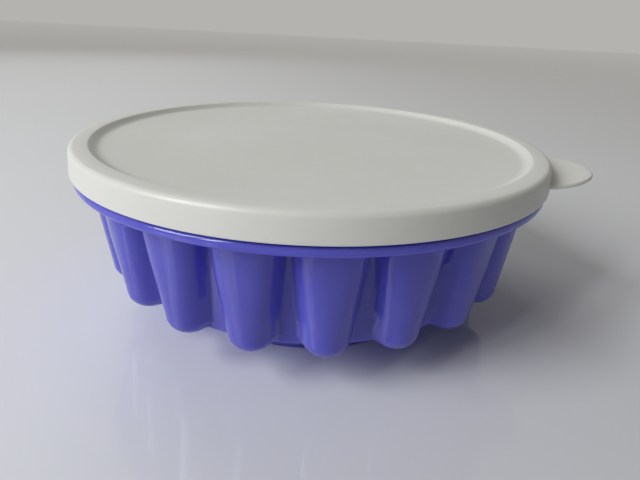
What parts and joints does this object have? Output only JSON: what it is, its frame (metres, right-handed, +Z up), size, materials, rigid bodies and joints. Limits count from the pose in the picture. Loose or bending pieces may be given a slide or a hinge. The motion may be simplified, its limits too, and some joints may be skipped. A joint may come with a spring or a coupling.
{
  "type": "charlotte mould with lid",
  "caption": "Round fluted charlotte mould in violet plastic with a flat white push-fit lid and finger tab; the half-round flutes hold sponge fingers upright",
  "frame": {"origin": "on the axis of the bowl, in the plane that the bowl stands on", "axes": "+Z up along the axis of the bowl; +X through the finger tab of the lid and the middle of one flute; +Y completes the right-handed frame"},
  "size_m": [0.2392, 0.2214, 0.0819],
  "materials": {
    "mould_plastic": "smooth glossy violet-blue, one colour through",
    "lid_plastic": "soft satin off-white, slightly waxy"
  },
  "bodies": {
    "bowl": {"mould": "mould_plastic"},
    "cover": {"lid": "lid_plastic"}
  },
  "joints": [
    {"name": "lid_lift", "type": "slide", "parent": "bowl", "child": "cover", "axis": [0, 0, 1], "range_m": [0, 0.08]}
  ]
}
